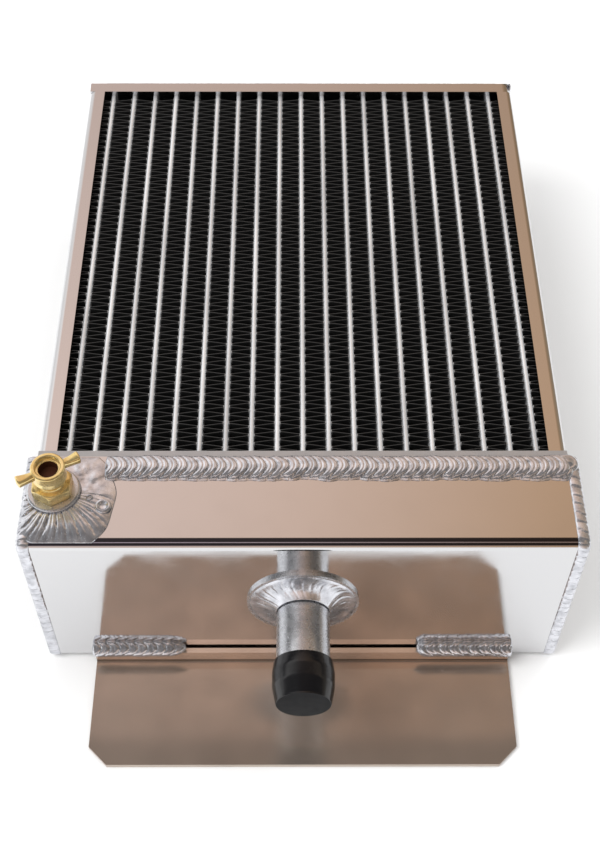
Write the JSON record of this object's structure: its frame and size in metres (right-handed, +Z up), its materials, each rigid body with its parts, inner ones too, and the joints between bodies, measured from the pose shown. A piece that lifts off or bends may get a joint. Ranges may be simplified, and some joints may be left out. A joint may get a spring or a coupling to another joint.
{
  "type": "car radiator",
  "caption": "Small all-aluminium welded radiator: flat tubes and fins between two tanks, with a capped outlet, an inlet spout, a drain cock and a foot bracket.",
  "frame": {"origin": "under the middle of the whole part's box, at the height of the foot bracket's underside", "axes": "+X across the tubes, +Y from the outlet tank to the inlet tank along the tubes, +Z up through the core's thickness, with the core lying flat"},
  "size_m": [0.21, 0.3586, 0.1056],
  "materials": {
    "sheet_aluminium": "polished",
    "tube_aluminium": "satin",
    "fin_aluminium": "satin",
    "weld_aluminium": "satin",
    "spout_aluminium": "satin",
    "cap_plastic": "gloss",
    "brass": "polished",
    "seal_rubber": "matt"
  },
  "bodies": {
    "radiator": {"tube_01": "tube_aluminium", "tube_02": "tube_aluminium", "tube_03": "tube_aluminium", "tube_04": "tube_aluminium", "tube_05": "tube_aluminium", "tube_06": "tube_aluminium", "tube_07": "tube_aluminium", "tube_08": "tube_aluminium", "tube_09": "tube_aluminium", "tube_10": "tube_aluminium", "tube_11": "tube_aluminium", "tube_12": "tube_aluminium", "tube_13": "tube_aluminium", "tube_14": "tube_aluminium", "tube_15": "tube_aluminium", "tube_16": "tube_aluminium", "tube_17": "tube_aluminium", "tube_18": "tube_aluminium", "tube_19": "tube_aluminium", "fin_pack_1": "fin_aluminium", "fin_pack_2": "fin_aluminium", "fin_pack_3": "fin_aluminium", "fin_pack_4": "fin_aluminium", "side_channel_left": "sheet_aluminium", "side_channel_right": "sheet_aluminium", "near_header": "sheet_aluminium", "far_header": "sheet_aluminium", "near_tank_shell": "sheet_aluminium", "near_tank_end_left": "sheet_aluminium", "near_tank_end_right": "sheet_aluminium", "near_end_weld_left": "weld_aluminium", "near_end_weld_right": "weld_aluminium", "near_header_weld": "weld_aluminium", "far_tank_shell": "sheet_aluminium", "far_tank_end_left": "sheet_aluminium", "far_tank_end_right": "sheet_aluminium", "far_header_weld": "weld_aluminium", "outlet_pipe": "spout_aluminium", "outlet_collar": "spout_aluminium", "outlet_weld": "weld_aluminium", "inlet_pipe": "spout_aluminium", "inlet_collar": "spout_aluminium", "inlet_weld": "weld_aluminium", "drain_bung": "spout_aluminium", "drain_bung_weld": "weld_aluminium", "drain_cock_body": "brass", "foot_bracket": "sheet_aluminium", "foot_weld": "weld_aluminium"},
    "cap": {"outlet_cap": "cap_plastic"},
    "stem_seal": {"drain_seal": "seal_rubber"},
    "key": {"drain_key": "brass"}
  },
  "joints": [
    {"name": "cap_pull", "type": "slide", "parent": "radiator", "child": "cap", "axis": [0, -1, 0], "range_m": [0, 0.03]},
    {"name": "drain_lift", "type": "slide", "parent": "radiator", "child": "stem_seal", "axis": [0, 0, 1], "range_m": [0, 0.002]},
    {"name": "drain_turn", "type": "hinge", "parent": "stem_seal", "child": "key", "pos_m": [-0.0929, -0.10825, 0.1], "axis": [0, 0, 1], "range_deg": [0, 720]}
  ],
  "couplings": [
    {"joint": "drain_turn", "follows": "drain_lift", "rad_per_m": 6283.2}
  ]
}
